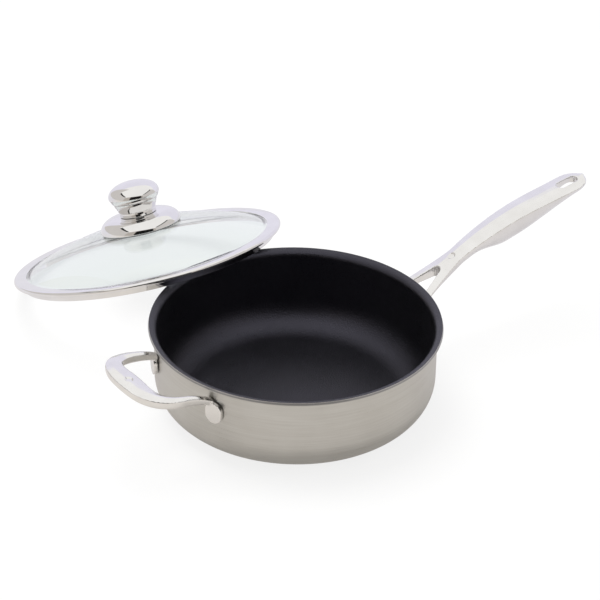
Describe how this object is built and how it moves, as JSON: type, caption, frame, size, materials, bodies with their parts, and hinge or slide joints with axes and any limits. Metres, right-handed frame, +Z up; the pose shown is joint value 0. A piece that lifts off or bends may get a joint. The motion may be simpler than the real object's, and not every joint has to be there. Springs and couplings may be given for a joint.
{
  "type": "saute pan with lid",
  "caption": "Round clad saute pan with a dark nonstick inside, a long forked handle, a loop helper handle, and a domed glass lid with a steel band and knob leaning on its rim.",
  "frame": {"origin": "middle of the underside of the pan's base, on the table", "axes": "+X along the long handle, +Z up, and the lid leans on the +Y side"},
  "size_m": [0.4999, 0.4585, 0.1264],
  "materials": {
    "outer_steel": "satin, brushed round the pan",
    "aluminium_layer": "bare cut edge",
    "inner_steel": "satin",
    "nonstick": "matte with fine speckle",
    "polished_steel": "polished",
    "weld_steel": "rough weld",
    "lid_glass": "clear",
    "silicone": "matte"
  },
  "bodies": {
    "pan": {"pan_outer_shell": "outer_steel", "pan_aluminium_core": "aluminium_layer", "pan_inner_shell": "inner_steel", "nonstick_coating": "nonstick", "long_handle": "polished_steel", "helper_handle": "polished_steel", "long_handle_weld_left": "weld_steel", "long_handle_weld_right": "weld_steel", "helper_handle_weld_left": "weld_steel", "helper_handle_weld_right": "weld_steel"},
    "lid": {"lid_glass": "lid_glass", "lid_band": "polished_steel", "base_gasket": "silicone", "knob_base": "polished_steel", "knob_neck": "polished_steel", "knob_insert": "inner_steel", "knob_cap": "polished_steel", "glass_grommet": "silicone", "screw_washer": "inner_steel", "knob_screw": "inner_steel"}
  },
  "joints": [
    {"name": "lid_lift", "type": "slide", "parent": "pan", "child": "lid", "axis": [0, 0, 1], "range_m": [0, 0.15]}
  ]
}
